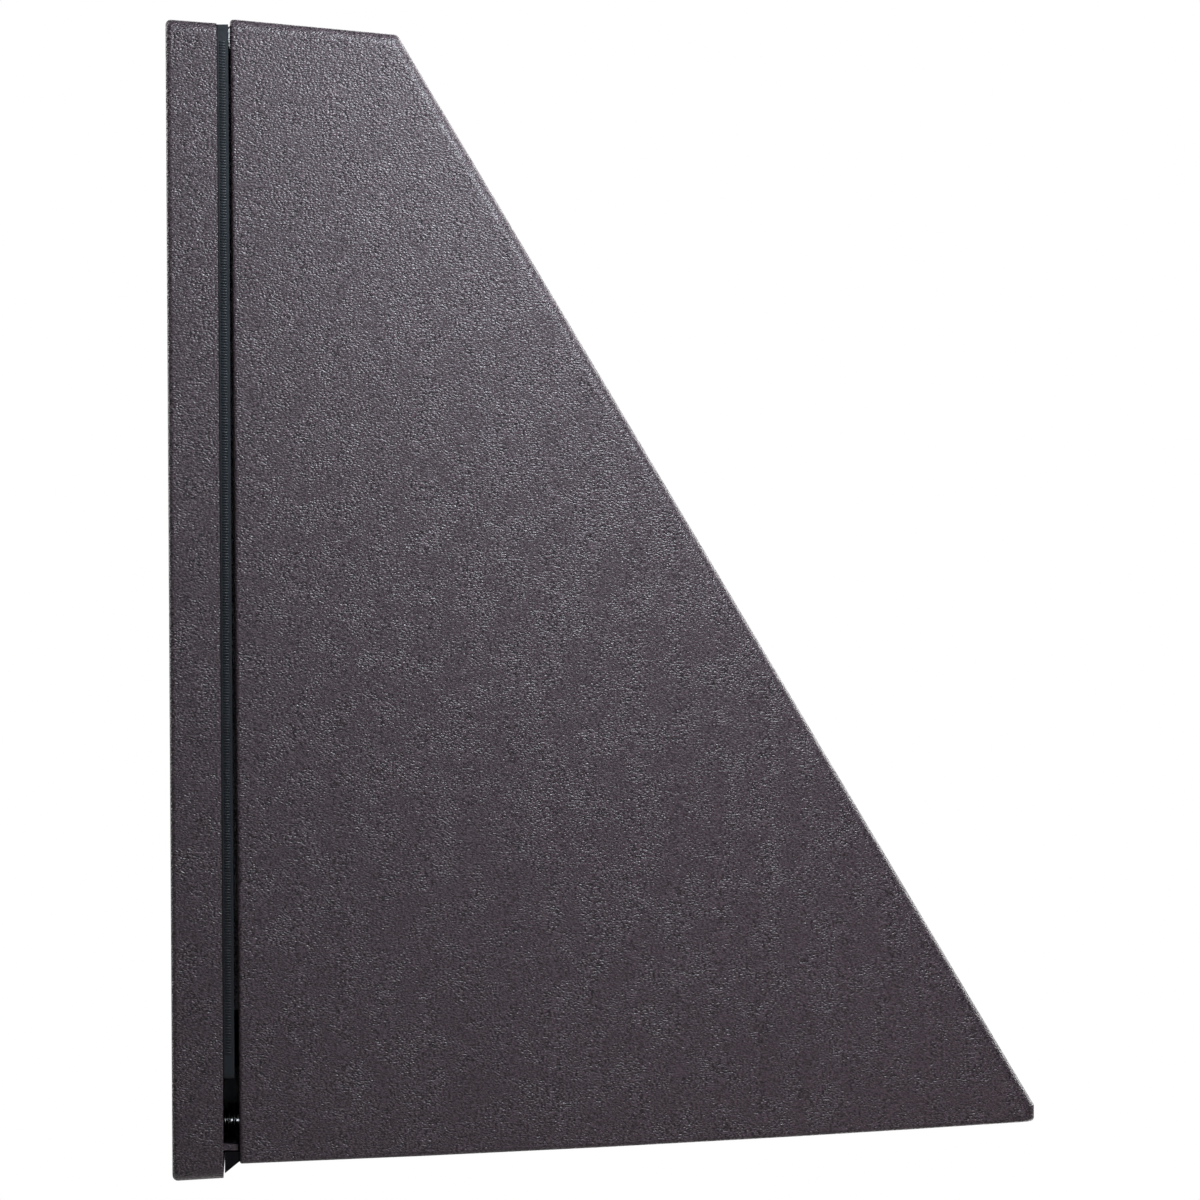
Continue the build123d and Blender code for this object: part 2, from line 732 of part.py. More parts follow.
def sink_screws():
    return [standing_screw(x, d, sink_top, 1, screw_r, sink_base + screw_bite, head_r, head_height)
            for x, d in side_posts()]


def thermal_pad():
    pad = bay_slab(board_inset + 1, pad_low, sink_level)
    for x, d in board_screw_places():
        pad = pad - upright(x, d, pad_low - 1, sink_level + 1, board_screw_r + pad_hole_gap)
    return pad - upright(output_x, output_depth, pad_low - 1, sink_level + 1, lead_grommet_r)


def board_middle():
    return (bay_rear + bay_front) / 2


def board_screw_places():
    return [(x, board_middle() + side * led_row_pitch / 2) for x in (-board_screw_span, 0.0, board_screw_span)
            for side in (-1, 1)]


def led_board():
    board = bay_slab(board_inset, board_low, pad_low)
    for x, d in board_screw_places():
        board = board - upright(x, d, board_low - 1, pad_low + 1, board_screw_r + board_hole_gap)
    return board


def led_packages():
    packages = []
    for row in range(led_rows):
        for column in range(led_columns):
            x = (column - (led_columns - 1) / 2) * led_column_pitch
            d = board_middle() + (row - (led_rows - 1) / 2) * led_row_pitch
            packages.append(block(x - led_size / 2, x + led_size / 2, d - led_size / 2, d + led_size / 2,
                                  board_low - led_height, board_low))
    return packages


def board_screws():
    return [standing_screw(x, d, board_low, -1, board_screw_r, board_thickness + board_screw_reach - 1,
                           board_screw_head_r, board_screw_head) for x, d in board_screw_places()]


# Driver

def driver_bracket():
    """Folded steel channel on the four long posts of the sloped front."""
    front = bracket_rear + bracket_thickness
    web = block(-bracket_half, bracket_half, bracket_rear, front, bracket_low, bracket_high)
    low = block(-bracket_half, bracket_half, bracket_rear, front + bracket_flange, bracket_low,
                bracket_low + bracket_thickness)
    high = block(-bracket_half, bracket_half, bracket_rear, front + bracket_flange, bracket_high - bracket_thickness,
                 bracket_high)
    bracket = web + low + high
    folds = [e for e in bracket.edges().filter_by(Axis.X) if abs(e.center().Y + bracket_rear) < 0.01]
    bracket = fillet(folds, bracket_fold)
    for x, h in bracket_posts():
        bracket = bracket - forward(x, bracket_rear - 1, front + 1, level(h), screw_clear_r)
    for x, z in driver_screw_places():
        bracket = bracket - forward(x, bracket_rear - 1, front + 1, z, tap_r)
    return bracket


def driver_level():
    return (bracket_low + bracket_high) / 2


def driver_case():
    low = driver_level() - driver_height / 2
    case = block(-driver_half, driver_half, bracket_rear - driver_depth, bracket_rear, low, low + driver_height)
    return fillet(case.edges().filter_by(Axis.X), driver_round)


def driver_screw_places():
    return [(side * (driver_half + cap_length + tab_hole), level(driver_level())) for side in (-1, 1)]


def driver_caps():
    """Moulded ends of the driver, each with its fixing tab."""
    caps = []
    low = driver_level() - driver_height / 2
    for side in (-1, 1):
        x0, x1 = sorted((side * driver_half, side * (driver_half + cap_length)))
        cap = block(x0, x1, bracket_rear - driver_depth, bracket_rear, low, low + driver_height)
        cap = fillet(cap.edges().filter_by(Axis.X), driver_round)
        x0, x1 = sorted((side * (driver_half + cap_length - 1), side * (driver_half + cap_length + tab_length)))
        tab = block(x0, x1, bracket_rear - tab_thickness, bracket_rear, driver_level() - tab_height / 2,
                    driver_level() + tab_height / 2)
        x, z = driver_screw_places()[0 if side < 0 else 1]
        caps.append(cap + tab - forward(x, 0, bracket_rear + 1, z, screw_clear_r))
    return caps


def bracket_screws():
    return [screw(x, level(h), bracket_rear, -1, screw_r, bracket_thickness + long_screw_bite, head_r, head_height)
            for x, h in bracket_posts()]


def driver_screws():
    return [screw(x, z, bracket_rear - tab_thickness, -1, screw_r, tab_thickness + bracket_thickness + 1, head_r,
                  head_height) for x, z in driver_screw_places()]


# Terminal block and leads

def pole_x(n):
    return block_x + (n - 1) * pole_pitch


def block_screw_places():
    return [(block_x + side * (block_length - block_ear) / 2, block_depth) for side in (-1, 1)]


def terminal_block():
    base = sink_level + sink_base
    half, wide = block_length / 2, block_width / 2
    foot = block(block_x - half, block_x + half, block_depth - wide, block_depth + wide, base,
                 base + block_ear_height)
    body = block(block_x - half + block_ear, block_x + half - block_ear, block_depth - wide, block_depth + wide, base,
                 base + block_height)
    body = chamfer(body.edges().filter_by(Axis.X).group_by(Axis.Z)[-1], block_bevel)
    moulding = foot + body
    for n in range(3):
        x = pole_x(n)
        moulding = moulding - upright(x, block_depth - wide / 2, base + block_height - pole_bore,
                                      base + block_height + 1, pole_screw_r + pole_screw_fit)
        moulding = moulding - upright(x, lead_entry_depth(), base + block_height - lead_bore, base + block_height + 1,
                                      lead_r + lead_entry_fit)
    for x, d in block_screw_places():
        moulding = moulding - upright(x, d, base - 1, base + block_height + 1, screw_r + screw_fit)
    return moulding


def lead_entry_depth():
    return block_depth + block_width / 4


def terminal_screws():
    base = sink_level + sink_base + block_height
    depth, top = block_depth - block_width / 4, base - pole_screw_drop
    slot = Box(2 * pole_screw_r + 1, pole_slot, 2 * pole_slot_depth)
    return [upright(pole_x(n), depth, base - pole_bore, top, pole_screw_r) - Pos(pole_x(n), -depth, level(top)) * slot
            for n in range(3)]


def block_screws():
    seat = sink_level + sink_base + block_ear_height
    return [standing_screw(x, d, seat, 1, board_screw_r, block_ear_height + block_screw_bite, board_screw_head_r,
                           board_screw_head) for x, d in block_screw_places()]


def lead(name, points):
    """A round lead along straight runs joined by arcs as large as the runs allow."""
    points = [Vector(x, -d, level(h)) for x, d, h in points]
    radii = []
    for a, b, c in zip(points, points[1:], points[2:]):
        run, turn = min((b - a).length, (c - b).length), (b - a).get_angle(c - b)
        radii.append(0.45 * run / tan(radians(turn / 2)))
    path = FilletPolyline(*points, radius=radii)
    section = Plane(origin=points[0], z_dir=points[1] - points[0]) * RegularPolygon(lead_r, wire_sides)
    tube = sweep(section, path=path)
    ratio = tube.volume / (section.area * path.length)
    print(name, "radii", [round(r, 1) for r in radii], "length", round(path.length, 1), "volume ratio",
          round(ratio, 4))
    return tube


def input_leads():
    """Line, neutral and earth leads from the driver's left end down into the terminal block."""
    names, start = ("line_lead", "neutral_lead", "earth_lead"), -(driver_half + cap_length)
    bottom = sink_level + sink_base + block_height - 5
    tubes = {}
    for n, name in enumerate(names):
        x, high = pole_x(n), driver_level() + (1 - n) * lead_spread
        middle = bracket_rear - driver_depth / 2
        tubes[name] = lead(name, [
            (start, middle, high), (start - input_start - input_fan * (2 - n), middle, high),
            (x + input_sway, middle - input_lean, high - input_bend + lead_stagger * n),
            (x - input_return, middle - input_setback, high - input_fall),
            (x, lead_entry_depth(), bottom + input_rise), (x, lead_entry_depth(), bottom)])
    return tubes


def output_leads():
    """Positive and negative leads from the driver's right end, through the grommet, to the board."""
    names, start = ("positive_lead", "negative_lead"), driver_half + cap_length
    tubes = {}
    for n, name in enumerate(names):
        x, high = output_x + (0.5 - n) * output_spread, driver_level() + (0.5 - n) * lead_spread
        middle = bracket_rear - driver_depth / 2
        tubes[name] = lead(name, [
            (start, middle, high), (start + output_start - output_fan * n, middle, high),
            (x - output_swing, middle + output_sway, high - output_bend + lead_stagger * n),
            (x + output_sway, output_depth - output_lean, high - output_fall),
            (x, output_depth, pad_low + output_rise), (x, output_depth, pad_low)])
    return tubes


def lead_grommet():
    top = sink_level + sink_base
    body = upright(output_x, output_depth, sink_level, top, lead_grommet_r)
    body = body + upright(output_x, output_depth, top, top + lead_grommet_lip, lead_grommet_r + lead_grommet_lip)
    for n in range(2):
        body = body - upright(output_x + (0.5 - n) * output_spread, output_depth, sink_level - 1, top + 3,
                              lead_r + lead_fit)
    return body


# Closing screws, springs and drip lip

def latch_screw(side):
    """Captive screw: a socket head in front of the rail's boss, a thin neck and a thicker threaded end."""
    x, z = side * latch_x, level(latch_level)
    seat = boss_face + seat_gap
    head = forward(x, seat, seat + latch_head, z, latch_head_r)
    head = chamfer(head.edges().filter_by(GeomType.CIRCLE).sort_by(Axis.Y)[0], head_chamfer)
    socket = Plane.XZ.offset(seat + latch_head) * Pos(x, z) * RegularPolygon(latch_socket_r, 6)
    head = head - extrude(socket, amount=-latch_socket)
    neck = forward(x, latch_tip + latch_lead, seat, z, latch_neck_r)
    thread = forward(x, latch_tip, latch_neck_end, z, latch_r)
    thread = chamfer(thread.edges().filter_by(GeomType.CIRCLE).sort_by(Axis.Y)[-1], latch_lead)
    return head + neck + thread


def latch_springs():
    """Short steel coil round each closing screw, in the gap between plate and housing."""
    springs = []
    pitch = (rim_low_depth - plate_depth - spring_wire - 0.2) / spring_turns
    start = -rim_low_depth + spring_wire / 2 + seat_gap
    for side in (-1, 1):
        def wire_at(quarter):
            turn = quarter * pi / 2
            return (side * latch_x + spring_mean_r * cos(turn), start + pitch * quarter / 4,
                    level(latch_level) + spring_mean_r * sin(turn))
        path = Wire([ThreePointArc(wire_at(n), wire_at(n + 1), wire_at(n + 2)).edge()
                     for n in range(0, 4 * spring_turns, 2)])
        section = Plane(origin=path @ 0, z_dir=path % 0) * RegularPolygon(spring_wire / 2, wire_sides)
        coil = sweep(section, path=path)
        print("spring volume ratio", round(coil.volume / (section.area * path.length), 4))
        springs.append(coil)
    print("least gap between the turns of a spring", round(pitch - spring_wire, 2))
    return springs


def lip_tongue_body(grow):
    half = lamp_width / 2 - lip_inset
    low = ledge_level - lip_gap - lip_tongue_height - lip_tongue_drop
    return block(-half - grow, half + grow, rim_low_depth - 1, rim_low_depth + lip_tongue + grow, low - grow,
                 low + lip_tongue_height + grow)


def drip_lip():
    """Rubber lip under the rear rim: upright towards the plate, bevelled underneath, held by a tongue."""
    half = lamp_width / 2 - lip_inset
    rear = -(plate_depth + lip_gap)
    high, rim = ledge_level - lip_gap, rim_level + heel_round
    outline = Polygon((rear, level(high)), (rear, level(rim_level - lip_drop)), (-rim_depth(rim), level(rim)),
                      (-rim_depth(high), level(high)), align=None)
    lip = extrude(Plane.YZ * outline, amount=half, both=True)
    return lip + lip_tongue_body(0)


def save(name, shape):
    solids = shape if isinstance(shape, list) else [shape]
    bodies = [solid for item in solids for solid in item.solids()]
    node = bodies[0] if len(bodies) == 1 else Compound(children=bodies)
    node.label = name
    export_step(node, f"parts/{name}.step")


nodes = {
    "back_plate": back_plate(), "wall_foam": wall_foam(), "wiring_grommet": wiring_grommet(),
    "housing_seal": housing_seal(), "hinge_pins": hinge_pins(), "ground_screw": ground_screw(),
    "ground_clamp": ground_clamp(), "housing": housing(), "lens_frame": lens_frame(), "lens_glass": lens_glass(),
    "lens_seal": lens_seal(), "lens_frame_screws": lens_frame_screws(), "reflector": reflector(),
    "heat_sink": heat_sink(), "heat_sink_screws": sink_screws(), "thermal_pad": thermal_pad(),
    "led_board": led_board(), "led_packages": led_packages(), "board_screws": board_screws(),
    "driver_bracket": driver_bracket(), "driver_case": driver_case(), "driver_end_caps": driver_caps(),
    "bracket_screws": bracket_screws(), "driver_screws": driver_screws(), "terminal_block": terminal_block(),
    "terminal_screws": terminal_screws(), "block_screws": block_screws(), "lead_grommet": lead_grommet(),
    "latch_screw_left": latch_screw(-1), "latch_screw_right": latch_screw(1), "latch_springs": latch_springs(),
    "drip_lip": drip_lip(),
}
nodes.update(input_leads())
nodes.update(output_leads())
for node_name, piece in nodes.items():
    save(node_name, piece)
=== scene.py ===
import math

import bpy
from mathutils import Matrix, Vector


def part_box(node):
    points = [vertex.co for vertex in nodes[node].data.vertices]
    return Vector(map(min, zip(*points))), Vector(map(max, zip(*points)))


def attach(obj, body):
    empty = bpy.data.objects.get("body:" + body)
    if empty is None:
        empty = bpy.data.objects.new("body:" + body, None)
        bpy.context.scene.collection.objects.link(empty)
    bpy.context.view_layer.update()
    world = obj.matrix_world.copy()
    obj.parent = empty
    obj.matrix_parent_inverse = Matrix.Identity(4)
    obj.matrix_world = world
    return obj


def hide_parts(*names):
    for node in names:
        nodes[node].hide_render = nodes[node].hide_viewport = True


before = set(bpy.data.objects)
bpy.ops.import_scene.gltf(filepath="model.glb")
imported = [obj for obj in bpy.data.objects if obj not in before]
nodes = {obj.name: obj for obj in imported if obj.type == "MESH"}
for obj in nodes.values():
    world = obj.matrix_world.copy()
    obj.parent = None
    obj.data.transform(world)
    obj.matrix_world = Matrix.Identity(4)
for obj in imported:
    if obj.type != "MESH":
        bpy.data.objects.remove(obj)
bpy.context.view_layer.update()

mm = 0.001
print("frame loaded:", len(nodes), "nodes")


# Materials

class Wire:
    # a socket in a material's tree; arithmetic on it adds the Math nodes
    def __init__(self, tree, socket):
        self.tree = tree
        self.socket = socket

    def node(self, kind, settings=None, inputs=None, output=0):
        added = self.tree.nodes.new(kind)
        for name, value in (settings or {}).items():
            setattr(added, name, value)
        for name, value in (inputs or {}).items():
            if isinstance(value, Wire):
                self.tree.links.new(added.inputs[name], value.socket)
            else:
                added.inputs[name].default_value = value
        return Wire(self.tree, added.outputs[output])

    def maths(self, operation, *values):
        return self.node("ShaderNodeMath", {"operation": operation}, dict(enumerate(values)))

    def __add__(self, other):
        return self.maths("ADD", self, other)

    def __radd__(self, other):
        return self.maths("ADD", other, self)

    def __sub__(self, other):
        return self.maths("SUBTRACT", self, other)

    def __rsub__(self, other):
        return self.maths("SUBTRACT", other, self)

    def __mul__(self, other):
        return self.maths("MULTIPLY", self, other)

    def __rmul__(self, other):
        return self.maths("MULTIPLY", other, self)

    def __gt__(self, other):
        return self.maths("GREATER_THAN", self, other)


def startMaterial(name):
    # an empty material, and its Object coordinates as the first wire
    material = bpy.data.materials.new(name)
    material.use_nodes = True
    material.node_tree.nodes.clear()
    coordinates = material.node_tree.nodes.new("ShaderNodeTexCoord")
    return material, Wire(material.node_tree, coordinates.outputs["Object"])


def closeMaterial(surface):
    ending = surface.tree.nodes.new("ShaderNodeOutputMaterial")
    surface.tree.links.new(ending.inputs["Surface"], surface.socket)


def noise(place, scale, detail=2.0, roughness=0.5):
    return place.node("ShaderNodeTexNoise", {"normalize": True},
                      {"Vector": place, "Scale": scale, "Detail": detail, "Roughness": roughness})


def cells(place, scale):
    return place.node("ShaderNodeTexVoronoi", None, {"Vector": place, "Scale": scale}, "Distance")


def spread(value, low, high, to=(0.0, 1.0)):
    return value.node("ShaderNodeMapRange", None,
                      {"Value": value, "From Min": low, "From Max": high, "To Min": to[0], "To Max": to[1]})


def blendColours(share, first, second):
    return share.node("ShaderNodeMix", {"data_type": "RGBA"}, {0: share, 6: first, 7: second}, 2)


def bump(height, depth, strength):
    inputs = {"Height": height, "Distance": depth * mm, "Strength": strength}
    return height.node("ShaderNodeBump", None, inputs)


def shader(place, **inputs):
    named = {name.replace("_", " "): value for name, value in inputs.items()}
    return place.node("ShaderNodeBsdfPrincipled", None, named)


def paint(red, green, blue):
    return (red, green, blue, 1.0)


def shaded(colour, share):
    return paint(*[part * share for part in colour])


cloudBand = (0.35, 0.65)
grainBand = (0.3, 0.7)
# the grain's valley colour is painted shade and its crown colour painted light; the speck colour is painted
# glints
coat = {"grainScale": 3350, "fineScale": 5360, "fineShare": 0.2, "stretch": (1.0, 0.60, 1.0), "relief": 0.21,
        "patchScale": 200, "patchStrength": (0.7, 1.3), "toneReach": 0.22, "shadedValley": (0.016, 0.0119, 0.0143),
        "litCrown": (0.104, 0.0775, 0.0915), "sheen": (0.32, 0.42), "glintSpeckScale": 700, "glintSpeckGroups": 230,
        "glintSpeckShare": 0.4, "glintSpeckColour": (0.27, 0.26, 0.27)}


def bronzeCoat(name, shade=1.0):
    # dark bronze powder coat: leathery grain about 0.7 mm apart, stronger in places, with painted shade in
    # its low places and painted light on its high places, and a few pale specks that are painted glints
    material, place = startMaterial(name)
    stretched = place.node("ShaderNodeMapping", None, {"Vector": place, "Scale": coat["stretch"]})
    grain = noise(stretched, coat["grainScale"], 0.6, 0.4)
    fine = noise(place, coat["fineScale"], 0.0)
    patches = spread(noise(place, coat["patchScale"], 1.0), *cloudBand, coat["patchStrength"])
    height = (grain - 0.5) * patches + (fine - 0.5) * coat["fineShare"]
    # painted shade and light: the grain's low places take the dark valley colour, its high places the pale
    # crown colour
    tone = spread(height, -coat["toneReach"], coat["toneReach"])
    body = blendColours(tone, shaded(coat["shadedValley"], shade), shaded(coat["litCrown"], shade))
    # painted glints: pale specks in groups stand in for the sparkle of light on the coat
    groups = noise(place, coat["glintSpeckGroups"], 1.0) > 0.56
    glintSpeck = spread(cells(place, coat["glintSpeckScale"]), 0.15, 0.07) * groups
    colour = blendColours(glintSpeck * coat["glintSpeckShare"], body, paint(*coat["glintSpeckColour"]))
    rough = spread(fine, *grainBand, coat["sheen"])
    closeMaterial(shader(place, Base_Color=colour, Roughness=rough, Normal=bump(height, coat["relief"], 1.0)))
    return material


def rubber(name, colour, sheen=0.5, gloss=0.5, grainScale=900, shadowDepth=None):
    # painted shadow: black where it lies nearer the wall than the given depth, if one is given
    material, place = startMaterial(name)
    grain = noise(place, grainScale, 3.0, 0.6)
    clouds = noise(place, 35, 2.0)
    tone = blendColours(spread(clouds, *cloudBand), paint(*colour), shaded(colour, 1.3))
    if shadowDepth:
        depth = place.node("ShaderNodeSeparateXYZ", None, {"Vector": place}, "Y")
        tone = blendColours(depth > shadowDepth, tone, paint(0.001, 0.001, 0.001))
    closeMaterial(shader(place, Base_Color=tone, Specular_IOR_Level=gloss,
                         Roughness=spread(grain, *grainBand, (sheen - 0.07, sheen + 0.07)),
                         Normal=bump(grain, 0.06, 0.5)))
    return material


def foam(name, colour):
    material, place = startMaterial(name)
    pores = cells(place, 700)
    # painted shade: the pores are darker towards their sunken middles
    tone = blendColours(spread(pores, 0.1, 0.5), shaded(colour, 0.4), paint(*colour))
    closeMaterial(shader(place, Base_Color=tone, Roughness=spread(pores, 0.0, 0.6, (0.85, 0.97)),
                         Normal=bump(pores, 0.5, 0.8)))
    return material


def metal(name, colour, roughness, streak=(1.0, 1.0, 1.0), grainScale=600, depth=0.03):
    material, place = startMaterial(name)
    stretched = place.node("ShaderNodeMapping", None, {"Vector": place, "Scale": streak})
    grain = noise(stretched, grainScale, 4.0, 0.6)
    clouds = noise(place, 40, 3.0)
    tone = blendColours(spread(clouds, *cloudBand), shaded(colour, 0.86), paint(*colour))
    closeMaterial(shader(place, Base_Color=tone, Metallic=1.0,
                         Roughness=spread(grain, *grainBand, (roughness - 0.06, roughness + 0.08)),
                         Normal=bump(grain, depth, 0.4)))
    return material


def plastic(name, colour, roughness=0.42, grainScale=1400, depth=0.04):
    material, place = startMaterial(name)
    grain = noise(place, grainScale, 2.0)
    clouds = noise(place, 30, 3.0)
    tone = blendColours(spread(clouds, *cloudBand), shaded(colour, 0.9), paint(*colour))
    closeMaterial(shader(place, Base_Color=tone,
                         Roughness=spread(grain, *grainBand, (roughness - 0.05, roughness + 0.05)),
                         Normal=bump(grain, depth, 0.5)))
    return material


def clearGlass(name):
    # tempered glass: clear with a faint green body, and a trace of dust and rolling waves
    material, place = startMaterial(name)
    waves = noise(place, 55, 2.0)
    dust = noise(place, 240, 4.0, 0.7)
    tone = blendColours(spread(dust, *grainBand), paint(0.93, 0.97, 0.95), paint(0.97, 0.99, 0.98))
    closeMaterial(shader(place, Base_Color=tone, Roughness=spread(dust, 0.4, 0.8, (0.02, 0.12)),
                         Transmission_Weight=1.0, IOR=1.5, Normal=bump(waves, 0.05, 0.3)))
    return material


finishes = {
    "bronzeCoat": bronzeCoat("bronzeCoat"),
    # painted shade: the plate wears a darker copy of the housing's coat, for the less light that reaches it
    "shadedPlateCoat": bronzeCoat("shadedPlateCoat", 0.95),
    "wallFoam": foam("wallFoam", (0.05, 0.05, 0.052)),
    "blackRubber": rubber("blackRubber", (0.0095, 0.0125, 0.0165), 0.45, 0.4),
    # painted shadow: the seal's rubber is black nearer the wall than 10.6 mm, for the shadow between plate
    # and seal
    "sealRubberShadowLine": rubber("sealRubberShadowLine", (0.0095, 0.0125, 0.0165), 0.45, 0.4, 900, -0.0106),
    # painted shade: the drip lip's rubber is a darker copy of the black rubber, for the shade under the
    # housing
    "shadedDripRubber": rubber("shadedDripRubber", (0.003, 0.0026, 0.0045), 0.6, 0.12),
    "lensSilicone": rubber("lensSilicone", (0.42, 0.41, 0.39), 0.5),
    "clearGlass": clearGlass("clearGlass"),
    "stainless": metal("stainless", (0.66, 0.66, 0.65), 0.16, (1.0, 1.0, 6.0)),
    "zincSteel": metal("zincSteel", (0.58, 0.60, 0.62), 0.34),
    "brass": metal("brass", (0.70, 0.49, 0.20), 0.27),
    "greenScrew": metal("greenScrew", (0.07, 0.33, 0.12), 0.36),
    "whiteReflector": plastic("whiteReflector", (0.86, 0.86, 0.84), 0.38),
    "bareAluminium": metal("bareAluminium", (0.72, 0.72, 0.73), 0.38, (0.08, 3.0, 3.0), 900, 0.05),
    "greyPad": rubber("greyPad", (0.22, 0.22, 0.24), 0.7),
    "whiteBoard": plastic("whiteBoard", (0.82, 0.83, 0.80), 0.46),
    "ledPhosphor": plastic("ledPhosphor", (0.88, 0.72, 0.22), 0.33),
    "driverAluminium": metal("driverAluminium", (0.66, 0.67, 0.68), 0.42, (3.0, 0.1, 3.0), 700, 0.04),
    "blackPlastic": plastic("blackPlastic", (0.022, 0.022, 0.024), 0.45),
    "whitePlastic": plastic("whitePlastic", (0.74, 0.73, 0.69), 0.4),
    "blackLead": plastic("blackLead", (0.016, 0.016, 0.018), 0.38),
    "whiteLead": plastic("whiteLead", (0.72, 0.71, 0.68), 0.38),
    "greenLead": plastic("greenLead", (0.05, 0.24, 0.08), 0.38),
    "redLead": plastic("redLead", (0.48, 0.03, 0.025), 0.38),
}

wornBy = {
    "bronzeCoat": ["housing", "lens_frame"],
    "shadedPlateCoat": ["back_plate"],
    "wallFoam": ["wall_foam"],
    "blackRubber": ["wiring_grommet", "housing_seal", "lead_grommet"],
    "shadedDripRubber": ["drip_lip"],
    "lensSilicone": ["lens_seal"],
    "clearGlass": ["lens_glass"],
    "stainless": ["hinge_pins", "lens_frame_screws", "latch_screw_left", "latch_screw_right",
                  "latch_springs"],
    "zincSteel": ["ground_clamp", "heat_sink_screws", "board_screws", "driver_bracket", "bracket_screws",
                  "driver_screws", "block_screws"],
    "brass": ["terminal_screws"],
    "greenScrew": ["ground_screw"],
    "whiteReflector": ["reflector"],
    "bareAluminium": ["heat_sink"],
    "greyPad": ["thermal_pad"],
    "whiteBoard": ["led_board"],
    "ledPhosphor": ["led_packages"],
    "driverAluminium": ["driver_case"],
    "blackPlastic": ["driver_end_caps"],
    "whitePlastic": ["terminal_block"],
    "blackLead": ["line_lead", "negative_lead"],
    "whiteLead": ["neutral_lead"],
    "greenLead": ["earth_lead"],
    "redLead": ["positive_lead"],
}
for finish, wearers in wornBy.items():
    for wearer in wearers:
        slots = nodes[wearer].data.materials
        slots.clear()
        slots.append(finishes[finish])
print("materials given:", len(finishes))


# Ways of modelling: a piece is shaped in millimetres round the origin, then set down in metres

def openPiece(name):
    # the active object, fresh from a primitive, under its own name
    piece = bpy.context.object
    piece.name = name
    piece.data.name = name
    return piece


def applyPlace(piece):
    # the object goes to the origin and its place into its mesh
    bpy.ops.object.select_all(action="DESELECT")
    piece.select_set(True)
    bpy.context.view_layer.objects.active = piece
    bpy.ops.object.transform_apply(location=True, rotation=True, scale=True)


def useModifier(piece, kind, **settings):
    modifier = piece.modifiers.new(kind.title(), kind)
    for name, value in settings.items():
        setattr(modifier, name, value)
    bpy.context.view_layer.objects.active = piece
    bpy.ops.object.modifier_apply(modifier=modifier.name)


def pickFaces(piece, wanted):
    # leaves the piece in edit mode with only the faces that pass the test selected
    bpy.ops.object.select_all(action="DESELECT")
    piece.select_set(True)
    bpy.context.view_layer.objects.active = piece
    bpy.ops.object.mode_set(mode="EDIT")
    bpy.ops.mesh.select_mode(type="FACE")
    bpy.ops.mesh.select_all(action="DESELECT")
    bpy.ops.object.mode_set(mode="OBJECT")
    for face in piece.data.polygons:
        face.select = wanted(face)
    bpy.ops.object.mode_set(mode="EDIT")


def endEdit():
    bpy.ops.object.mode_set(mode="OBJECT")


def drawOut(radius, height, rings):
    # extrudes the selected end along z through (height, radius) rings, starting from a ring of its own
    for nextHeight, nextRadius in rings:
        bpy.ops.mesh.extrude_region_move(TRANSFORM_OT_translate={"value": (0, 0, nextHeight - height)})
        share = nextRadius / radius
        bpy.ops.transform.resize(value=(share, share, 1), center_override=(0, 0, 0))
        height, radius = nextHeight, nextRadius


def tidyMesh(piece, angle=0.6):
    # doubles merged, normals outward, smooth across soft edges
    pickFaces(piece, lambda face: True)
    bpy.ops.mesh.remove_doubles(threshold=0.0005)
    bpy.ops.mesh.normals_make_consistent(inside=False)
    endEdit()
    bpy.ops.object.shade_smooth_by_angle(angle=angle)


def setDown(piece, places):
    # copies of the piece, each with its own mesh, at the places; the model itself goes
    made = []
    for place in places:
        copied = piece.copy()
        copied.data = piece.data.copy()
        bpy.context.scene.collection.objects.link(copied)
        copied.data.transform(place @ Matrix.Scale(mm, 4))
        made.append(copied)
    bpy.data.objects.remove(piece)
    return made


def pieceInto(name, parts, body, finish, replaced=()):
    # joins the parts into one piece, gives it its finish and sets it on its body
    bpy.ops.object.select_all(action="DESELECT")
    for part in parts:
        part.select_set(True)
    bpy.context.view_layer.objects.active = parts[0]
    if len(parts) > 1:
        bpy.ops.object.join()
    piece = openPiece(name)
    piece.data.materials.clear()
    piece.data.materials.append(finishes[finish])
    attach(piece, body)
    if replaced:
        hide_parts(*replaced)
    return piece


def islands(name, reach):
    # lowest and highest corners of a node's separate solids, which lie further apart than the reach
    groups = []
    for vertex in nodes[name].data.vertices:
        near = next((group for group in groups if (group[0] - vertex.co).length < reach * mm), None)
        if near is None:
            groups.append([vertex.co.copy(), vertex.co.copy(), vertex.co.copy()])
            continue
        near[1] = Vector(map(min, near[1], vertex.co))
        near[2] = Vector(map(max, near[2], vertex.co))
    return [(group[1], group[2]) for group in groups]


# Seal: its lip swells towards the housing, and fine ribs cross its outer face

seal = {"lipDepth": 12.25, "swell": 0.4, "near": 0.05}
ribs = {"pitch": 0.56, "height": 0.16, "width": 0.30, "length": 1.2, "round": 0.08, "topGap": 3.0,
        "lowGap": 4.5, "foot": 0.03, "near": 0.1}


def makeSeal():
    # a copy of the plain seal with its front face moved out
    swollen = nodes["housing_seal"].copy()
    swollen.data = nodes["housing_seal"].data.copy()
    bpy.context.scene.collection.objects.link(swollen)
    pickFaces(swollen, lambda face: True)
    bpy.ops.mesh.remove_doubles(threshold=0.000001)
    endEdit()
    lip = -seal["lipDepth"] * mm
    pickFaces(swollen, lambda face: face.normal.y < -0.9 and abs(face.center.y - lip) < seal["near"] * mm)
    bpy.ops.transform.translate(value=(0, -seal["swell"] * mm, 0))
    endEdit()
    return pieceInto("sealLip", [swollen], "plate", "sealRubberShadowLine", ("housing_seal",))


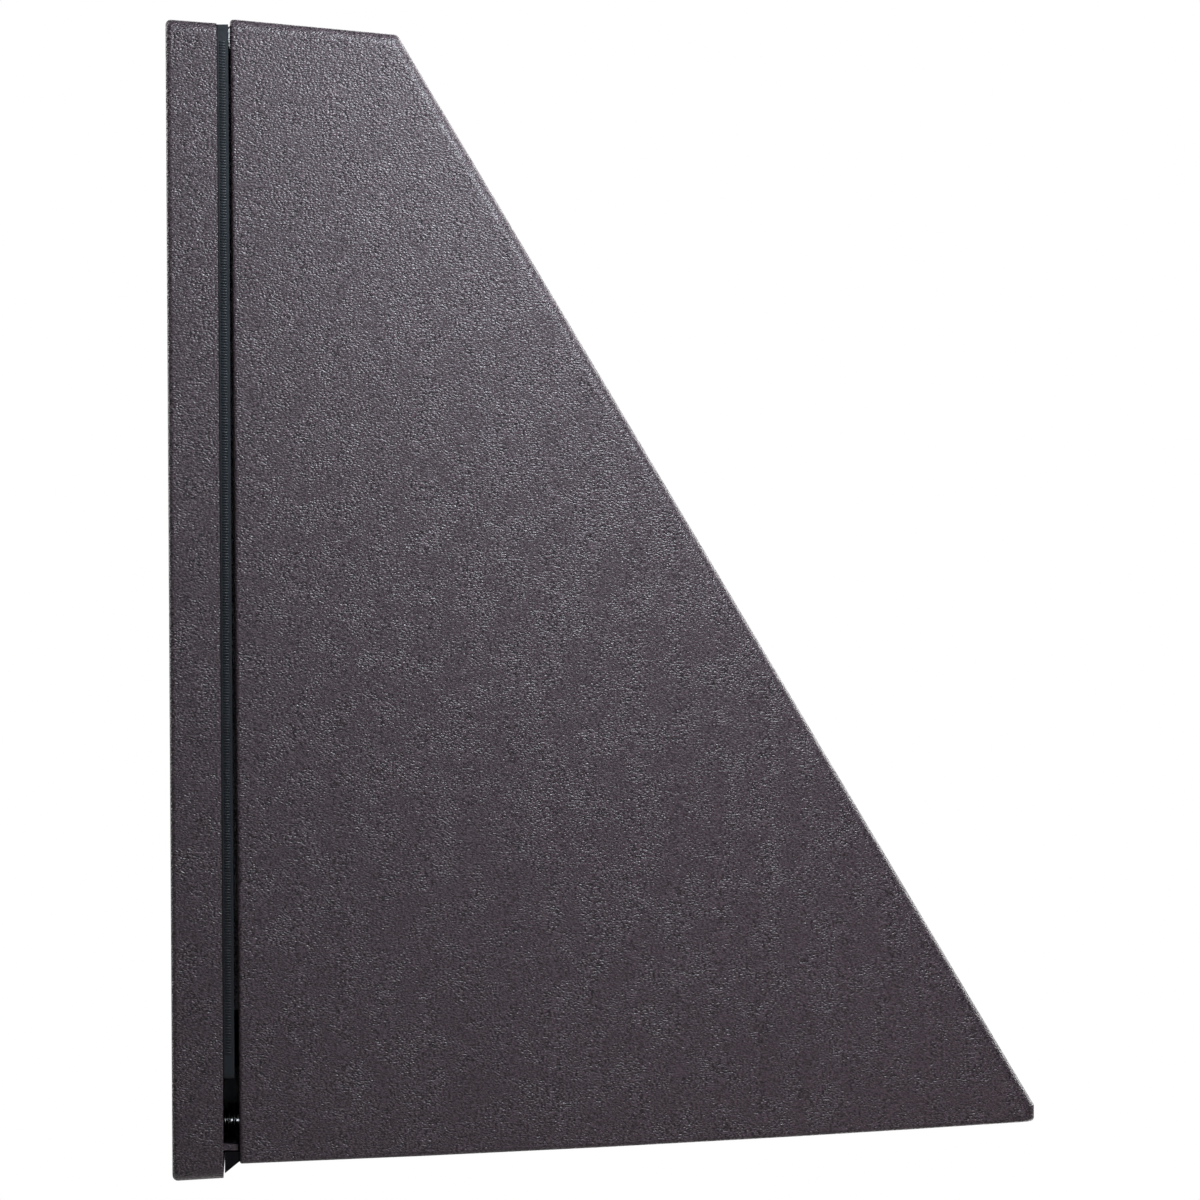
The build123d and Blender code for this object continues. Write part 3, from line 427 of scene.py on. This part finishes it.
def makeSealRibs(mesh):
    # one rounded rib, repeated up the outer face at either side of the seal
    bpy.ops.object.select_all(action="DESELECT")
    bpy.ops.mesh.primitive_cube_add(size=1)
    rib = openPiece("sealRib")
    rib.scale = (ribs["height"] + ribs["foot"], ribs["length"], ribs["width"])
    rib.location = ((ribs["height"] - ribs["foot"]) / 2, 0, 0)
    applyPlace(rib)
    pickFaces(rib, lambda face: face.normal.x > 0.9)
    bpy.ops.mesh.bevel(offset=ribs["round"], segments=2, affect="EDGES")
    endEdit()
    tidyMesh(rib, 1.2)
    places = []
    runs = []
    for side in (-1, 1):
        edge = max(side * vertex.co.x for vertex in mesh.vertices)
        outer = [vertex.co for vertex in mesh.vertices if side * vertex.co.x > edge - ribs["near"] * mm]
        low, high = min(c.z for c in outer), max(c.z for c in outer)
        middle = (min(c.y for c in outer) + max(c.y for c in outer)) / 2
        runs.append(high - low)
        turn = Matrix.Rotation(0 if side > 0 else math.pi, 4, "Z")
        places.append(Matrix.Translation((side * edge, middle, low + ribs["lowGap"] * mm)) @ turn)
    made = setDown(rib, places)
    for part, run in zip(made, runs):
        count = int((run / mm - ribs["topGap"] - ribs["lowGap"]) / ribs["pitch"]) + 1
        useModifier(part, "ARRAY", count=count, use_relative_offset=False, use_constant_offset=True,
                    constant_offset_displace=(0, 0, ribs["pitch"] * mm))
    return pieceInto("sealRibs", made, "plate", "blackRubber")


makeSealRibs(makeSeal().data)
print("seal and its ribs made")


# Small screws: pan heads with a cross recess

# the head's profile from its rim up, as shares of its height and radius
panHead = [(0.25, 1.0), (0.6, 0.96), (0.85, 0.82), (1.0, 0.56)]
headRim = {"radius": 0.97, "height": 0.1}
crossRecess = {"width": 0.22, "arm": 0.36, "depth": 0.55, "foot": 0.6}
screwTip = {"length": 0.6, "share": 0.7}
screwsApart = 20
screws = {
    "lens_frame_screws": {"name": "lensFrameScrews", "slot": "stainless", "finish": "stainless",
                          "facing": "down", "body": "front", "head": 3.5, "height": 2.2, "shank": 1.5},
    "heat_sink_screws": {"name": "heatSinkScrews", "slot": "zinc_steel", "finish": "zincSteel",
                         "facing": "up", "body": "front", "head": 3.5, "height": 2.2, "shank": 1.5},
    "board_screws": {"name": "boardScrews", "slot": "zinc_steel", "finish": "zincSteel", "facing": "down",
                     "body": "front", "head": 2.4, "height": 1.5, "shank": 1.15},
    "block_screws": {"name": "blockScrews", "slot": "zinc_steel", "finish": "zincSteel", "facing": "up",
                     "body": "front", "head": 2.4, "height": 1.5, "shank": 1.15},
    "bracket_screws": {"name": "bracketScrews", "slot": "zinc_steel", "finish": "zincSteel", "facing": "back",
                       "body": "front", "head": 3.5, "height": 2.2, "shank": 1.5},
    "driver_screws": {"name": "driverScrews", "slot": "zinc_steel", "finish": "zincSteel", "facing": "back",
                      "body": "front", "head": 3.5, "height": 2.2, "shank": 1.5},
    "ground_screw": {"name": "groundScrew", "slot": "green_screw", "finish": "greenScrew", "facing": "out",
                     "body": "plate", "head": 3.5, "height": 2.2, "shank": 1.5},
}


def crossCutter(radius, depth, top):
    # a plus-shaped tool, narrower at its foot, that cuts the recess for a driver
    bpy.ops.object.select_all(action="DESELECT")
    bpy.ops.mesh.primitive_cube_add(size=1, location=(0, 0, top))
    cutter = openPiece("crossCutter")
    cutter.scale = (crossRecess["width"] * radius, crossRecess["width"] * radius, 2 * depth)
    applyPlace(cutter)
    pickFaces(cutter, lambda face: abs(face.normal.z) < 0.5)
    bpy.ops.mesh.extrude_faces_move(TRANSFORM_OT_shrink_fatten={"value": crossRecess["arm"] * radius})
    endEdit()
    pickFaces(cutter, lambda face: face.normal.z < -0.5)
    bpy.ops.transform.resize(value=(crossRecess["foot"], crossRecess["foot"], 1), center_override=(0, 0, 0))
    endEdit()
    return cutter


def makeScrews(node, screw):
    # every screw of one node: head, cross recess and shank, each set down where the node has its solid
    found = islands(node, screwsApart)
    low, high = found[0]
    length = (high - low)[1 if screw["facing"] in ("back", "out") else 2] / mm
    head, height, shank = screw["head"], screw["height"], screw["shank"]
    rimRadius, rimHeight = head * headRim["radius"], headRim["height"] * height
    bpy.ops.object.select_all(action="DESELECT")
    bpy.ops.mesh.primitive_cylinder_add(vertices=24, radius=rimRadius, depth=rimHeight,
                                        location=(0, 0, rimHeight / 2))
    model = openPiece("screwModel")
    applyPlace(model)
    pickFaces(model, lambda face: face.normal.z > 0.9)
    drawOut(rimRadius, rimHeight, [(rise * height, share * head) for rise, share in panHead])
    endEdit()
    pickFaces(model, lambda face: face.normal.z < -0.9)
    bpy.ops.mesh.inset(thickness=rimRadius - shank)
    end = height - length
    drawOut(shank, 0.0, [(end + screwTip["length"], shank), (end, shank * screwTip["share"])])
    endEdit()
    cutter = crossCutter(head, crossRecess["depth"] * height, height)
    useModifier(model, "BOOLEAN", operation="DIFFERENCE", object=cutter, solver="EXACT")
    bpy.data.objects.remove(cutter)
    tidyMesh(model, 0.5)
    places = []
    for low, high in found:
        middle = (low + high) / 2
        if screw["facing"] == "down":
            place = (Matrix.Translation((middle.x, middle.y, low.z + height * mm))
                     @ Matrix.Rotation(math.pi, 4, "X"))
        elif screw["facing"] == "up":
            place = Matrix.Translation((middle.x, middle.y, high.z - height * mm))
        elif screw["facing"] == "back":
            place = (Matrix.Translation((middle.x, high.y - height * mm, middle.z))
                     @ Matrix.Rotation(-math.pi / 2, 4, "X"))
        else:
            place = (Matrix.Translation((middle.x, low.y + height * mm, middle.z))
                     @ Matrix.Rotation(math.pi / 2, 4, "X"))
        places.append(place)
    made = setDown(model, places)
    return pieceInto(screw["name"], made, screw["body"], screw["finish"], (node,))


for node, screw in screws.items():
    makeScrews(node, screw)
print("small screws made:", len(screws))


# Closing screws and their springs

latch = {"headRadius": 4.0, "headHeight": 4.5, "bevel": 0.6, "socket": 2.0, "socketDepth": 2.7,
         "socketCone": 0.5, "socketTip": 0.4, "knurl": 0.16, "sides": 48, "neck": 1.9, "neckLength": 9.25,
         "threadLength": 5.5, "crest": 2.4, "root": 2.08, "pitch": 0.8, "tip": 0.4, "endArea": 20}
# one turn of the thread: shares of its pitch, and the radius reached there
threadTurn = [(0.35, "crest"), (0.5, "crest"), (0.9, "root")]
spring = {"wire": 0.75, "radius": 3.25, "turns": 2, "stepsPerTurn": 40, "apart": 40}


def sunkInKnurl(face):
    # every other face of the head's side
    turned = (math.atan2(face.center.y, face.center.x) + math.pi) / math.tau
    return abs(face.normal.z) < 0.5 and int(turned * latch["sides"]) % 2 == 0


def makeLatchScrew(node, body):
    # knurled head with a hex socket, thin neck and a thread at its end
    radius, height = latch["headRadius"], latch["headHeight"]
    low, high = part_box(node)
    bpy.ops.object.select_all(action="DESELECT")
    bpy.ops.mesh.primitive_cylinder_add(vertices=latch["sides"], radius=radius, depth=height - latch["bevel"],
                                        location=(0, 0, (height - latch["bevel"]) / 2))
    model = openPiece("latchModel")
    applyPlace(model)
    pickFaces(model, sunkInKnurl)
    bpy.ops.mesh.extrude_faces_move(TRANSFORM_OT_shrink_fatten={"value": -latch["knurl"]})
    endEdit()
    pickFaces(model, lambda face: face.normal.z > 0.9 and face.area > latch["endArea"])
    drawOut(radius, height - latch["bevel"], [(height, radius - latch["bevel"])])
    endEdit()
    pickFaces(model, lambda face: face.normal.z < -0.9 and face.area > latch["endArea"])
    bpy.ops.mesh.inset(thickness=radius - latch["neck"])
    rings = [(-latch["neckLength"], latch["neck"]), (-latch["neckLength"], latch["root"])]
    turns = int(latch["threadLength"] / latch["pitch"]) - 1
    for n in range(turns):
        start = -latch["neckLength"] - n * latch["pitch"]
        rings += [(start - share * latch["pitch"], latch[edge]) for share, edge in threadTurn]
    rings += [(-latch["neckLength"] - latch["threadLength"] + latch["tip"], latch["root"]),
              (-latch["neckLength"] - latch["threadLength"], latch["root"] - latch["tip"])]
    drawOut(latch["neck"], 0.0, rings)
    endEdit()
    bpy.ops.object.select_all(action="DESELECT")
    bpy.ops.mesh.primitive_cylinder_add(vertices=6, radius=latch["socket"], depth=2 * latch["socketDepth"],
                                        location=(0, 0, height))
    cutter = openPiece("hexCutter")
    applyPlace(cutter)
    pickFaces(cutter, lambda face: face.normal.z < -0.5)
    bottom = height - latch["socketDepth"]
    drawOut(latch["socket"], bottom, [(bottom - latch["socketCone"], latch["socketTip"])])
    endEdit()
    useModifier(model, "BOOLEAN", operation="DIFFERENCE", object=cutter, solver="EXACT")
    bpy.data.objects.remove(cutter)
    tidyMesh(model, 0.5)
    place = Matrix.Translation(((low.x + high.x) / 2, low.y + height * mm, (low.z + high.z) / 2))
    made = setDown(model, [place @ Matrix.Rotation(math.pi / 2, 4, "X")])
    return pieceInto(body.split("_")[0] + "LatchScrew", made, body, "stainless", (node,))


def makeLatchSprings():
    # a round wire wound by the screw modifier, one spring at each closing screw
    found = islands("latch_springs", spring["apart"])
    low, high = found[0]
    rise = (high.y - low.y) / mm - spring["wire"]
    bpy.ops.object.select_all(action="DESELECT")
    bpy.ops.mesh.primitive_circle_add(vertices=14, radius=spring["wire"] / 2,
                                      location=(spring["radius"], 0, 0), rotation=(math.pi / 2, 0, 0))
    coil = openPiece("springModel")
    applyPlace(coil)
    steps = spring["turns"] * spring["stepsPerTurn"]
    useModifier(coil, "SCREW", axis="Z", angle=spring["turns"] * math.tau, screw_offset=-rise,
                steps=steps, render_steps=steps, use_smooth_shade=True)
    bpy.ops.object.mode_set(mode="EDIT")
    bpy.ops.mesh.select_mode(type="EDGE")
    bpy.ops.mesh.select_all(action="DESELECT")
    bpy.ops.mesh.select_non_manifold()
    bpy.ops.mesh.edge_face_add()
    endEdit()
    tidyMesh(coil, 0.9)
    places = []
    for low, high in found:
        level = low.y + spring["wire"] / 2 * mm
        place = Matrix.Translation(((low.x + high.x) / 2, level, (low.z + high.z) / 2))
        places.append(place @ Matrix.Rotation(math.pi / 2, 4, "X"))
    made = setDown(coil, places)
    return pieceInto("latchSprings", made, "front", "stainless", ("latch_springs",))


makeLatchScrew("latch_screw_left", "left_screw")
makeLatchScrew("latch_screw_right", "right_screw")
makeLatchSprings()
print("closing screws and springs made")


# Lamps on the board: white cup, phosphor in its recess

lamp = {"side": 3.5, "height": 0.7, "rim": 0.45, "recess": 0.22, "taper": 0.86, "bevel": 0.12,
        "phosphor": 1.25, "thickness": 0.08, "dome": [(0.05, 0.86), (0.08, 0.5)], "apart": 6}


def makeLamps():
    found = islands("led_packages", lamp["apart"])
    side, height = lamp["side"], lamp["height"]
    bpy.ops.object.select_all(action="DESELECT")
    bpy.ops.mesh.primitive_cube_add(size=1)
    cup = openPiece("lampCup")
    cup.scale = (side, side, height)
    applyPlace(cup)
    useModifier(cup, "BEVEL", width=lamp["bevel"], segments=2, limit_method="ANGLE")
    pickFaces(cup, lambda face: face.normal.z < -0.99)
    bpy.ops.mesh.inset(thickness=lamp["rim"])
    bpy.ops.mesh.extrude_region_move(TRANSFORM_OT_translate={"value": (0, 0, lamp["recess"])})
    bpy.ops.transform.resize(value=(lamp["taper"], lamp["taper"], 1), center_override=(0, 0, 0))
    endEdit()
    tidyMesh(cup, 0.5)
    bpy.ops.object.select_all(action="DESELECT")
    level = lamp["recess"] - height / 2
    bpy.ops.mesh.primitive_cylinder_add(vertices=20, radius=lamp["phosphor"], depth=lamp["thickness"],
                                        location=(0, 0, level))
    glow = openPiece("lampPhosphor")
    applyPlace(glow)
    pickFaces(glow, lambda face: face.normal.z < -0.9)
    outside = level - lamp["thickness"] / 2
    rings = [(outside - drop, lamp["phosphor"] * share) for drop, share in lamp["dome"]]
    drawOut(lamp["phosphor"], outside, rings)
    endEdit()
    tidyMesh(glow, 1.0)
    places = [Matrix.Translation((low + high) / 2) for low, high in found]
    pieceInto("lampCups", setDown(cup, places), "front", "whitePlastic", ("led_packages",))
    pieceInto("lampPhosphor", setDown(glow, places), "front", "ledPhosphor")
    return len(found)


print("lamps on the board:", makeLamps())


# Leads inside the housing, in millimetres from the frame's origin

leadRadius = 1.2
leads = {
    "line_lead": {"name": "lineLead", "slot": "black_lead", "finish": "blackLead", "route": [
        (-66.0, -42.65, 42.0), (-84.0, -42.65, 42.0), (-105.0, -39.65, 20.0), (-112.0, -35.65, -6.0),
        (-109.0, -35.0, -42.0), (-109.0, -35.0, -66.0)]},
    "neutral_lead": {"name": "neutralLead", "slot": "white_lead", "finish": "whiteLead", "route": [
        (-66.0, -42.65, 35.5), (-80.0, -42.65, 35.5), (-96.0, -39.65, 16.5), (-103.0, -35.65, -12.5),
        (-100.0, -35.0, -42.0), (-100.0, -35.0, -66.0)]},
    "earth_lead": {"name": "earthLead", "slot": "green_lead", "finish": "greenLead", "route": [
        (-66.0, -42.65, 29.0), (-76.0, -42.65, 29.0), (-87.0, -39.65, 13.0), (-94.0, -35.65, -19.0),
        (-91.0, -35.0, -42.0), (-91.0, -35.0, -66.0)]},
    "positive_lead": {"name": "positiveLead", "slot": "red_lead", "finish": "redLead", "route": [
        (66.0, -42.65, 38.75), (88.0, -42.65, 38.75), (117.7, -46.65, 12.75), (135.7, -51.0, -19.25),
        (131.7, -56.0, -46.5), (131.7, -56.0, -80.5)]},
    "negative_lead": {"name": "negativeLead", "slot": "black_lead", "finish": "blackLead", "route": [
        (66.0, -42.65, 32.25), (81.0, -42.65, 32.25), (114.3, -46.65, 9.25), (132.3, -51.0, -25.75),
        (128.3, -56.0, -46.5), (128.3, -56.0, -80.5)]},
}


def makeLead(node, lead):
    # a smooth round tube along the lead's route
    curve = bpy.data.curves.new(lead["name"], "CURVE")
    curve.dimensions = "3D"
    curve.bevel_depth = leadRadius * mm
    curve.bevel_resolution = 5
    curve.use_fill_caps = True
    run = curve.splines.new("NURBS")
    run.points.add(len(lead["route"]) - 1)
    for point, (x, y, z) in zip(run.points, lead["route"]):
        point.co = (x * mm, y * mm, z * mm, 1.0)
    run.order_u = 3
    run.use_endpoint_u = True
    run.resolution_u = 10
    tube = bpy.data.objects.new(lead["name"], curve)
    bpy.context.scene.collection.objects.link(tube)
    bpy.ops.object.select_all(action="DESELECT")
    tube.select_set(True)
    bpy.context.view_layer.objects.active = tube
    bpy.ops.object.convert(target="MESH")
    bpy.ops.object.shade_smooth_by_angle(angle=0.9)
    return pieceInto(lead["name"], [bpy.context.object], "front", lead["finish"], (node,))


for node, lead in leads.items():
    makeLead(node, lead)
print("leads made:", len(leads))


# Camera and stage

shot = {"distance": 1.5, "nearFace": -0.18, "inLineWith": -0.019, "aimDepth": 0.08715, "aimHeight": -0.0005,
        "lens": 222.5, "sensor": 36.0, "clip": (0.05, 40.0), "roll": -0.349}


def makeCamera():
    data = bpy.data.cameras.new("camera")
    data.lens = shot["lens"]
    data.sensor_width = shot["sensor"]
    data.clip_start, data.clip_end = shot["clip"]
    camera = bpy.data.objects.new("camera", data)
    bpy.context.scene.collection.objects.link(camera)
    place = Vector((shot["nearFace"] - shot["distance"], shot["inLineWith"], 0.0))
    target = Vector((shot["nearFace"], -shot["aimDepth"], shot["aimHeight"]))
    turn = (target - place).to_track_quat("-Z", "Y").to_matrix().to_4x4()
    roll = Matrix.Rotation(math.radians(shot["roll"]), 4, "Z")
    camera.matrix_world = Matrix.Translation(place) @ turn @ roll
    bpy.context.scene.camera = camera


softboxes = {
    "key": {"place": (-0.35, -0.15, 0.22), "aim": (-0.18, -0.07, 0.04), "size": (0.10, 0.10), "power": 1.40,
            "spread": 180, "colour": (0.87, 0.945, 1.0)},
    "low": {"place": (-0.60, -0.31, -0.16), "aim": (-0.18, -0.10, -0.10), "size": (0.15, 0.15), "power": 0.19,
            "spread": 180, "colour": (1.0, 0.60, 0.72)},
    "glint": {"place": (-1.45, -0.03, -0.07), "aim": (-0.17, -0.013, -0.105), "size": (0.06, 0.6),
              "power": 0.045, "spread": 60, "colour": (0.85, 0.93, 1.0)},
    "front": {"place": (1.2, -1.4, 0.7), "aim": (0.0, -0.08, 0.0), "size": (1.0, 1.0), "power": 16.0,
              "spread": 150, "colour": (1.0, 1.0, 1.0)},
    "far": {"place": (1.5, -0.3, 0.6), "aim": (0.0, -0.05, 0.0), "size": (0.9, 0.9), "power": 6.0,
            "spread": 150, "colour": (1.0, 1.0, 1.0)},
    "under": {"place": (0.3, -0.4, -0.5), "aim": (0.0, -0.08, -0.1), "size": (0.5, 0.5), "power": 2.0,
              "spread": 150, "colour": (1.0, 0.98, 0.96)},
    "wallSide": {"place": (0.8, 1.2, 0.5), "aim": (0.0, 0.0, 0.0), "size": (0.9, 0.9), "power": 14.0,
                 "spread": 150, "colour": (1.0, 1.0, 1.0)},
}


def makeLights():
    for name, box in softboxes.items():
        data = bpy.data.lights.new(name, "AREA")
        data.shape = "RECTANGLE"
        data.size, data.size_y = box["size"]
        data.energy = box["power"]
        data.spread = math.radians(box["spread"])
        data.color = box["colour"]
        light = bpy.data.objects.new(name, data)
        bpy.context.scene.collection.objects.link(light)
        place = Vector(box["place"])
        light.location = place
        light.rotation_mode = "QUATERNION"
        light.rotation_quaternion = (Vector(box["aim"]) - place).to_track_quat("-Z", "Y")


floor = {"size": 6.0, "level": -0.62}


def makeFloor():
    # pale floor, brighter to the camera than to the lamp, and clear from below for views from under the lamp
    bpy.ops.object.select_all(action="DESELECT")
    bpy.ops.mesh.primitive_plane_add(size=floor["size"], location=(0, 0, floor["level"]))
    ground = openPiece("floor")
    applyPlace(ground)
    material, place = startMaterial("paleFloor")
    cloud = noise(place, 3.0, 3.0)
    pale = blendColours(cloud, paint(0.80, 0.80, 0.80), paint(0.84, 0.84, 0.835))
    dull = shader(place, Base_Color=pale, Roughness=0.7)
    bright = shader(place, Base_Color=pale, Roughness=0.7, Emission_Color=pale, Emission_Strength=0.7)
    seen = place.node("ShaderNodeLightPath", output="Is Camera Ray")
    matt = place.node("ShaderNodeMixShader", None, {0: seen, 1: dull, 2: bright})
    under = place.node("ShaderNodeNewGeometry", output="Backfacing")
    clear = place.node("ShaderNodeBsdfTransparent", output="BSDF")
    closeMaterial(place.node("ShaderNodeMixShader", None, {0: under, 1: matt, 2: clear}))
    ground.data.materials.append(material)


backdrop = {"glow": 0.05, "glowColour": (0.92, 0.96, 1.0)}


def makeWorld():
    # white behind the lamp for the camera, a faint grey light from everywhere else
    world = bpy.data.worlds.new("studio")
    bpy.context.scene.world = world
    world.use_nodes = True
    world.node_tree.nodes.clear()
    seen = world.node_tree.nodes.new("ShaderNodeLightPath")
    start = Wire(world.node_tree, seen.outputs["Is Camera Ray"])
    white = start.node("ShaderNodeBackground", None, {"Color": paint(1.0, 1.0, 1.0)})
    glow = start.node("ShaderNodeBackground", None, {"Color": paint(*backdrop["glowColour"]),
                                                     "Strength": backdrop["glow"]})
    mixed = start.node("ShaderNodeMixShader", None, {0: start, 1: glow, 2: white})
    end = world.node_tree.nodes.new("ShaderNodeOutputWorld")
    world.node_tree.links.new(end.inputs["Surface"], mixed.socket)


makeCamera()
makeLights()
makeFloor()
makeWorld()
bpy.context.scene.view_settings.view_transform = "Standard"
print("camera and stage set")
